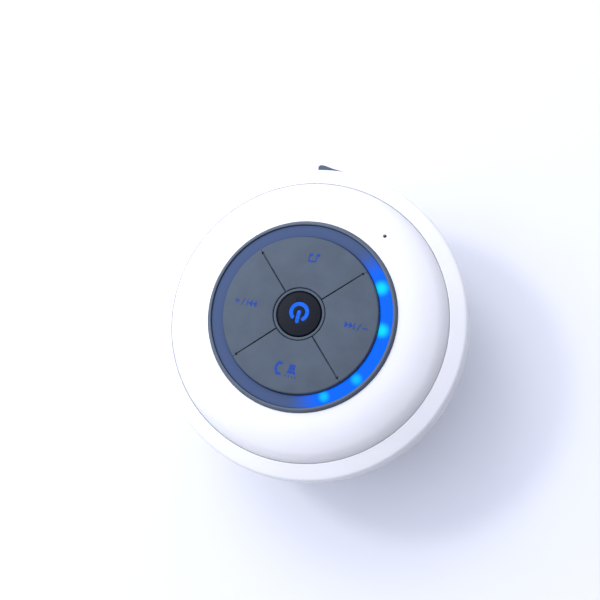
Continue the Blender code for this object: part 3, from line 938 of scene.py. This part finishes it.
@dataclass
class Keypad:
    """The bezel, the light ring, the four sector keys with their symbols, and the power button."""

    inner_r: float
    outer_r: float
    top: float
    bottom: float
    cap_top: float
    cap_r: float = 6.04
    collar_in: float = 6.14
    collar_out: float = 6.86
    slit: float = 0.36
    web_gap: float = 0.09  # between a slit's wall and the web of silicone in it
    web_low: float = 0.77  # how far the web lies below the keys' tops
    parting: float = 0.055  # half of the gap between two keys
    slit_end: float = 0.36  # radius of the round hole that ends a slit
    slit_end_r: float = 19.6
    keys: dict[str, int] = field(
        default_factory=lambda: {"next": 0, "call": 90, "previous": 180, "mode": 270}
    )
    symbol_at: Point = (0.1, -0.5)
    symbol_r: float = 2.15
    symbol_stroke: float = 1.0
    symbol_open: float = 43.0

    def build(self) -> None:
        """Makes every piece of the keypad."""
        self._bezel()
        self._light_ring()
        self._base()
        self._keys()
        self._power_button()

    def _bezel(self) -> None:
        """The grey rim round the light ring, rounded towards the dome, hooked under it."""
        inner, crown, outer = 24.45, 52.9, 25.6
        outline = filleted(
            [
                (inner, crown, 0.25),
                (inner + 0.75, crown, 0.5),
                (outer, crown - 1.25, 0.8),
                (outer, 49.4, 0.2),
                (27.2, 49.4, 0.1),
                (27.2, 48.8, 0.1),
                (inner, 48.8, 0.1),
            ],
            steps=6,
        )
        # the rim's silicone is painted lighter than the keys' to stand in for the highlight on the rim
        fit(turned("bezel_rim", outline), RIM_SILICONE_PAINTED_LIGHTER.build(), "housing", "grey_silicone", "bezel_ring")

    def _light_ring(self) -> None:
        """The frosted ring over the lamps."""
        outline = filleted([(21.15, 52.4, 0.2), (24.35, 52.3, 0.1), (24.35, 50.0), (21.15, 50.0)], steps=4)
        fit(turned("glow_ring", outline), RingLight().build(), "housing", "frosted_diffuser", "light_ring")

    def _base(self) -> None:
        """The sheet of silicone under the keys, with the collar round the power button."""
        outline = filleted(
            [
                (21.0, 51.7, 0.2),
                (21.0, 50.8, 0.1),
                (self.collar_in, 50.8, 0.1),
                (self.collar_in, self.top - 0.12, 0.2),
                (self.collar_out, self.top - 0.12, 0.25),
                (self.collar_out, 51.7, 0.2),
            ],
            steps=5,
        )
        base = turned("keypad_sheet", outline)
        for angle in DIAGONALS:
            near, far, low, high = 7.0, self.slit_end_r, 51.4, self.top - self.web_low
            size = (far - near, self.slit - 2 * self.web_gap, high - low)
            web = bar("web", size, ((near + far) / 2, 0, (low + high) / 2))
            carve(base, turn_about_axis(web, angle), Cut.JOIN)
        for angle in self.keys.values():
            carve(base, peg("plunger_hole", 2.3, 50.0, 52.5, polar(15, angle)), Cut.AWAY)
        fit(base, GREY_SILICONE.build(), "housing", "grey_silicone", "keypad_base")

    def _disc(self) -> bpy.types.Object:
        """The four keys before they are parted: one disc with the slits cut and their edges rounded."""
        outline = filleted(
            [
                (self.inner_r, self.top, 0.3),
                (14.4, self.top - 0.2, 20.0),
                (self.outer_r - 0.1, self.top - 0.6, 0.5),
                (self.outer_r, self.bottom, 0.15),
                (self.inner_r, self.bottom, 0.1),
            ],
            steps=6,
        )
        disc = turned("key_disc", outline)
        for angle in DIAGONALS:
            reach = self.slit_end_r
            slit = bar("slit", (reach - 6, self.slit, 8), ((reach + 6) / 2, 0, 54))
            carve(disc, turn_about_axis(slit, angle), Cut.AWAY)
            carve(disc, peg("slit_end", self.slit_end, 50, 58, polar(reach, angle), 24), Cut.AWAY)
        return soften(disc, 0.26, above=55)

    def _keys(self) -> None:
        """Parts the disc into four keys and sets each key's plunger and symbol on it."""
        disc = self._disc()
        for name, angle in self.keys.items():
            key = twin(disc, f"{name}_key_pad")
            carve(key, self._sector(angle), Cut.SHARED)
            carve(key, peg("plunger", 1.8, 50.9, self.bottom + 0.5, polar(15, angle)), Cut.JOIN)
            bpy.ops.object.shade_smooth_by_angle(angle=math.radians(SMOOTH_BELOW))
            fit(key, GREY_SILICONE.build(), f"{name}_key", "grey_silicone", f"key_{name}")
            symbol = Symbols.build(name, key)
            fit(symbol, KEY_LIGHT.build(), f"{name}_key", "blue_lens")
        bpy.data.objects.remove(disc)

    def _sector(self, angle: float) -> bpy.types.Object:
        """A quarter of the disc, as a tool, set out so that a pressed key clears its neighbours."""
        far, (x, y) = 2 * self.outer_r, polar(self.parting * math.sqrt(2), angle)
        reaches = (polar(far, angle - 45), polar(1.5 * far, angle), polar(far, angle + 45))
        return prism("sector", [(x, y), *((x + px, y + py) for px, py in reaches)], 50, 58)

    def _power_button(self) -> None:
        """The near-black cap with its symbol cut through, and the light guide that fills it."""
        top, r = self.cap_top, self.cap_r
        outline = filleted(
            [
                (0, top),
                (3.0, top - 0.03, 8.0),
                (r - 0.15, top - 0.2, 0.35),
                (r, 50.5),
                (7.3, 50.5, 0.1),
                (7.3, 49.7, 0.1),
                (5.2, 49.7, 0.1),
                (5.2, top - 1.4),
                (0, top - 1.4),
            ],
            closed=False,
            steps=6,
        )
        cap = turned("power_button_cap", outline, SMALL_ROUND, ring=False)
        lens_top = top - 1.7
        lens = peg("power_light_guide", 4.9, lens_top - 1, lens_top, sides=SMALL_ROUND)
        carve(lens, peg("plunger", 1.5, 50.9, lens_top - 0.5), Cut.JOIN)
        for shape in (self._symbol_arc, self._symbol_bar):
            carve(cap, prism("symbol_cut", shape(0.06), lens_top, top + 1), Cut.AWAY)
            carve(lens, prism("symbol", shape(0.0), lens_top - 0.4, top - 0.12), Cut.JOIN)
        soften(cap, 0.07, above=60, steps=2)
        finish_mesh(lens)
        fit(cap, BLACK_ABS.build(), "power_key", "black_abs", "power_cap")
        fit(lens, POWER_LIGHT.build(), "power_key", "blue_lens", "power_lens")

    def _symbol_arc(self, slack: float) -> list[Point]:
        """The symbol's broken circle with round ends, grown by some slack."""
        x, y = self.symbol_at
        half = self.symbol_stroke / 2 + slack
        first, last = 90 + self.symbol_open, 450 - self.symbol_open
        outline: list[Point] = []
        for side, start, end in ((1, first, last), (-1, last, first)):
            outline += placed(sweep(self.symbol_r + side * half, start, end, 40), x, y)
            cx, cy = polar(self.symbol_r, end)
            turn = end if side > 0 else end + 180
            outline += placed(sweep(half, turn + 15, turn + 165, 10), x + cx, y + cy)
        return outline

    def _symbol_bar(self, slack: float) -> list[Point]:
        """The symbol's bar with round ends, grown by some slack."""
        x, y = self.symbol_at
        half = self.symbol_stroke / 2 + slack
        low, high = y, y + 1.4 * self.symbol_r - self.symbol_stroke / 2
        return placed(sweep(half, 0, 180, 12), x, high) + placed(sweep(half, 180, 360, 12), x, low)


class Symbols:
    """The lit symbols of the keys, as thin windows that follow the silicone's surface."""

    CENTRE_R = 15.0
    PROUD = 0.03  # how far a symbol stands out of the key
    THICK = 0.08
    CELL, CELLS = 0.45, 44  # a symbol is cut this small to bend, this many times each way

    @classmethod
    def build(cls, name: str, key: bpy.types.Object) -> bpy.types.Object:
        """Makes a key's symbol and lays it on the key.

        Args:
            name: The key's name.
            key: The finished key.

        Returns:
            The symbol's piece.
        """
        drawings: dict[str, Callable[[], list[list[Point]]]] = {
            "call": cls._torch_and_handset,
            "next": cls._next_and_plus,
            "previous": cls._minus_and_previous,
            "mode": cls._notes,
        }
        strokes = [prism("stroke", outline, 56, 56) for outline in drawings[name]()]
        symbol = merge(f"{name}_symbol", strokes)
        cls._lay(symbol, key)
        return symbol

    @classmethod
    def _lay(cls, symbol: bpy.types.Object, key: bpy.types.Object) -> None:
        """Cuts the symbol small enough to bend, and drops it onto the key's surface."""
        take(symbol)
        bpy.ops.object.mode_set(mode="EDIT")
        for axis in (Vector((1, 0, 0)), Vector((0, 1, 0))):
            for step in range(-cls.CELLS, cls.CELLS + 1):
                bpy.ops.mesh.select_all(action="SELECT")
                bpy.ops.mesh.bisect(plane_co=axis * step * cls.CELL * MM, plane_no=axis)
        bpy.ops.object.mode_set(mode="OBJECT")
        wrap = symbol.modifiers.new("lay", "SHRINKWRAP")
        wrap.target = key
        wrap.wrap_method = "PROJECT"
        wrap.use_project_z = True
        wrap.use_negative_direction = True
        wrap.use_positive_direction = False
        wrap.cull_face = "OFF"
        wrap.offset = cls.PROUD * MM
        skin = symbol.modifiers.new("skin", "SOLIDIFY")
        skin.thickness = cls.THICK * MM
        skin.offset = -1
        apply_modifiers(symbol)

    @staticmethod
    def _box(x: float, y: float, width: float, height: float, lean: float = 0.0) -> list[Point]:
        """A bar centred on a point, its top shifted sideways by the lean."""
        half, up = width / 2, height / 2
        return [
            (x - half - lean / 2, y - up),
            (x + half - lean / 2, y - up),
            (x + half + lean / 2, y + up),
            (x - half + lean / 2, y + up),
        ]

    @classmethod
    def _skip(cls, x: float, forward: int) -> list[list[Point]]:
        """Two triangles and a bar, which point to the next or the previous track."""
        size, tall = 1.2, 0.88
        shapes = []
        for index in range(2):
            base = x + forward * size * (index - 1)
            tip = base + forward * size
            shape = [(base, -tall), (tip, 0.0), (base, tall)]
            shapes.append(shape if forward > 0 else shape[::-1])
        shapes.append(cls._box(x + forward * (size + 0.2), 0, 0.28, 2 * tall))
        return shapes

    @classmethod
    def _next_and_plus(cls) -> list[list[Point]]:
        """Skip forward, a slash and a plus."""
        centre = cls.CENTRE_R
        plus_x = centre + 2.35
        shapes = cls._skip(centre - 1.95, 1)
        shapes.append(cls._box(centre + 0.65, 0, 0.28, 1.8, 0.62))
        shapes.append(cls._box(plus_x, 0, 1.3, 0.3))
        shapes.append(cls._box(plus_x, 0.425, 0.3, 0.45))
        shapes.append(cls._box(plus_x, -0.425, 0.3, 0.45))
        return shapes

    @classmethod
    def _minus_and_previous(cls) -> list[list[Point]]:
        """A minus, a slash and skip back."""
        centre = -cls.CENTRE_R - 0.6
        shapes = cls._skip(centre + 1.95, -1)
        shapes.append(cls._box(centre - 0.65, 0, 0.28, 1.8, 0.62))
        shapes.append(cls._box(centre - 2.35, 0, 1.35, 0.36))
        return shapes

    @classmethod
    def _torch_and_handset(cls) -> list[list[Point]]:
        """A torch with its rays on the left, and a telephone handset on the right."""
        x, y = -1.8, cls.CENTRE_R
        shapes = [
            [(x - 0.8, y - 1.75), (x + 0.8, y - 1.75), (x + 0.8, y - 0.35), (x - 0.8, y - 0.35)],
            [(x - 0.85, y - 0.25), (x + 0.85, y - 0.25), (x + 1.25, y + 0.7), (x - 1.25, y + 0.7)],
        ]
        for index in range(4):
            shift = (index - 1.5) * 0.75
            shapes.append(cls._box(x + shift * 1.15, y + 1.45, 0.26, 0.6, shift * 0.35))
        x = 1.0
        bow = placed(sweep(1.8, -62, 62, 12), x, y - 0.1, tall=1.2)
        inner = placed(sweep(1.12, 48, -48, 10), x, y - 0.1, tall=1.2)
        ear_top = [(x + 0.1, y + 0.98), (x - 0.35, y + 1.45)]
        ear_low = [(x - 0.35, y - 1.65), (x + 0.1, y - 1.18)]
        shapes.append([*bow, ear_top[1], ear_top[0], *inner, ear_low[1], ear_low[0]])
        return shapes

    @classmethod
    def _notes(cls) -> list[list[Point]]:
        """Two beamed notes."""
        y = -cls.CENTRE_R - 0.45
        shapes = [[(-0.95, y + 0.72), (1.3, y + 0.95), (1.3, y + 1.42), (-0.95, y + 1.2)]]
        for x, low in ((-0.79, y - 0.72), (1.14, y - 0.5)):
            shapes.append([(x - 0.16, low), (x + 0.16, low), (x + 0.16, low + 1.4), (x - 0.16, low + 1.4)])
            shapes.append(placed(sweep(0.42, 0, 330, 11), x - 0.36, low - 0.12, wide=1.25))
        return shapes


# --------------------------------------------------------------------------- the cup


@dataclass
class Cup:
    """The soft suction cup and the hard hub that the speaker turns on."""

    radius: float
    top: float
    hub_low: float
    hub_top: float
    press: float = 2.4  # how far the cup flattens

    def build(self) -> None:
        """Makes the soft cup and its hub."""
        r, top = self.radius, self.top
        bell = bulge((10.8, 10.4), (r - 0.5, 1.0), -22, 30)
        under = bulge((r - 3.2, 0.25), (9.0, 4.3), 20, 24)
        neck = filleted([(7.8, 5.7), (7.8, top, 0.3), (10.3, top, 0.6), (10.55, 11.0)], closed=False)
        rim = [(r - 0.5, 1.0), (r, 0.55, 0.3), (r, 0, 0.12), (r - 3, 0, 0.1), under[0]]
        rim = filleted(rim, closed=False)
        outline = [(0, 5.7), (7.8, 5.7), *neck[1:], *bell, *rim[1:-1], *under, (4.0, 4.58), (0, 4.6)]
        cup = turned("suction_bell", outline, ROUND, ring=False)
        fit(cup, CUP_PVC.build(), "cup", "clear_silicone", "suction_cup")
        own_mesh(cup)
        low, high = self.hub_low, self.hub_top
        hub_outline = filleted(
            [
                (0, low + 0.8),
                (5.35, low + 0.8, 0.2),
                (5.35, 11.2, 0.2),
                (3.6, 11.2, 0.2),
                (3.6, high, 0.3),
                (9.4, high, 0.35),
                (9.4, high - 0.9, 0.2),
                (7.5, high - 0.9, 0.1),
                (7.5, low, 0.3),
                (0, low),
            ],
            closed=False,
        )
        hub = turned("swivel_hub", hub_outline, SMALL_ROUND, ring=False)
        fit(hub, WHITE_ABS.build(), "hub", "white_abs", "cup_hub")


# --------------------------------------------------------------------------- carried-over nodes


def dress_inner_nodes(nodes: dict[str, bpy.types.Object]) -> None:
    """Gives every CAD node that stays its real finish.

    Args:
        nodes: The frame's nodes by name.
    """
    groups: tuple[tuple[Surface, str], ...] = (
        (WHITE_ABS, "cup_post"),
        (BLACK_ABS, "board_carrier board_link"),
        (BLACK_RUBBER, "shell_seal mic_boot driver_surround"),
        (BOARD, "key_board lamp_strip main_board"),
        (EPOXY, "amplifier_chip"),
        (TIN, "usb_socket radio_module microphone"),
        (FERRITE, "output_coil driver_magnet"),
        (POUCH, "filter_capacitor battery"),
        (FOAM, "battery_pad driver_gasket"),
        (COPPER, "voice_coil"),
        (PAPER, "driver_cone dust_cap"),
        (MeshCloth(), "driver_spider rain_cloth"),
        (WIRE, "battery_lead speaker_lead"),
    )
    finishes = {name: finish for finish, names in groups for name in names.split()}
    starts = {
        "switch_stem": TIN, "switch_": EPOXY, "shell_screw": STEEL, "cup_post_screw": STEEL, "driver_": STEEL,
    }
    for name, node in nodes.items():
        if node.hide_render:
            continue
        fitting = [finish for start, finish in starts.items() if name.startswith(start)]
        dress(node, (finishes.get(name) or fitting[0]).build())


# --------------------------------------------------------------------------- the studio


@dataclass(frozen=True)
class Studio:
    """The pale table, the soft window light and the camera over the speaker."""

    camera_at: tuple[float, float, float] = (-72.7, 34.4, 330.2)
    forward: tuple[float, float, float] = (0.2548, -0.1321, -0.9579)
    up: tuple[float, float, float] = (0.254, -0.967, 0.0)
    lens: float = 66.06
    table_side: float = 6000
    sky: str = "E4E8FF"
    horizon: float = 0.0
    zenith: float = 2.45
    backdrop: float = 0.9  # what a low camera sees behind the table, which lights nothing

    def build(self) -> None:
        """Sets the table, the lights, the sky and the camera."""
        self._table()
        self._lights()
        self._sky()
        self._camera()
        bpy.context.scene.view_settings.view_transform = "Standard"

    def _table(self) -> None:
        """A pale matt table top."""
        deselect()
        bpy.ops.mesh.primitive_plane_add(size=self.table_side * MM)
        table = named("table_top")
        white = Finish("white_laminate", "DFE0E1", "DADBDD", 0.6, grain_mm=2, depth_mm=0.003, mottle_mm=60)
        dress(table, white.build())

    def _lights(self) -> None:
        """Two soft windows, both on the left of the view."""
        windows = {
            "side_window": ((0.50, -0.12, 0.86), 0.20, 0.12, 0.75, (1.0, 0.99, 0.97)),
            "top_window": ((0.33, -0.42, 0.84), 0.13, 0.28, 0.75, (1.0, 0.99, 0.98)),
        }
        for name, (direction, level, size, distance, colour) in windows.items():
            lamp = bpy.data.lights.new(name, "AREA")
            lamp.shape = "DISK"
            lamp.size = size
            lamp.energy = level * (math.pi * distance) ** 2  # level is what a white card facing it gives back
            lamp.color = colour
            made = bpy.data.objects.new(name, lamp)
            made.location = Vector(direction).normalized() * distance
            made.rotation_mode = "QUATERNION"
            made.rotation_quaternion = Vector(direction).to_track_quat("Z", "Y")
            bpy.context.scene.collection.objects.link(made)

    def _sky(self) -> None:
        """A bluish room, bright overhead and dim near the floor."""
        world = bpy.data.worlds.new("room")
        world.use_nodes = True
        tree = world.node_tree
        background = tree.nodes["Background"]
        background.inputs["Color"].default_value = linear(self.sky)
        way = add(tree, "ShaderNodeTexCoord").outputs["Generated"]
        overhead = Vector((0.50, -0.29, 0.81)).normalized()
        facing = add(tree, "ShaderNodeVectorMath", {0: way, 1: tuple(overhead)}, operation="DOT_PRODUCT")
        strength = add(
            tree,
            "ShaderNodeMapRange",
            {"Value": facing.outputs["Value"], "To Min": self.horizon, "To Max": self.zenith},
        )
        seen = add(tree, "ShaderNodeLightPath").outputs["Is Camera Ray"]
        backdrop = add(tree, "ShaderNodeMix", {0: seen, 2: strength.outputs["Result"], 3: self.backdrop})
        tree.links.new(backdrop.outputs["Result"], background.inputs["Strength"])
        bpy.context.scene.world = world

    def _camera(self) -> None:
        """The camera, nearly straight above, with the key symbols upside down to it."""
        lens = bpy.data.cameras.new("camera")
        lens.lens = self.lens
        lens.sensor_width = 36
        lens.clip_start = 0.01
        camera = bpy.data.objects.new("camera", lens)
        forward = Vector(self.forward).normalized()
        right = forward.cross(Vector(self.up)).normalized()
        up = right.cross(forward)
        turn = Matrix((right, up, -forward)).transposed()
        camera.matrix_world = Matrix.Translation(Vector(self.camera_at) * MM) @ turn.to_4x4()
        bpy.context.scene.collection.objects.link(camera)
        bpy.context.scene.camera = camera


def span(node: str) -> tuple[Vector, Vector]:
    """A CAD node's lowest and highest corners, in mm."""
    low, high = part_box(node)
    return low / MM, high / MM


def main() -> None:
    """Builds the looks around the frame."""
    logging.basicConfig(level=logging.INFO, format="%(name)s: %(message)s")
    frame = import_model()
    rear, front = span("rear_shell"), span("front_shell")
    key, cap, cup, hub = span("key_next"), span("power_cap"), span("suction_cup"), span("cup_hub")
    Studio().build()
    Housing(
        flange_r=rear[1].x,
        flange_top=rear[1].z,
        flange_bottom=34.4,
        back=rear[0].z,
        dome_r=front[1].x + 0.15,
        dome_top=front[1].z,
    ).build()
    PortCover().build()
    Keypad(inner_r=7.02, outer_r=key[1].x, top=key[1].z, bottom=52.6, cap_top=cap[1].z).build()
    Cup(radius=cup[1].x, top=cup[1].z, hub_low=hub[0].z, hub_top=hub[1].z).build()
    dress_inner_nodes(frame["nodes"])


if __name__ == "__main__":
    main()
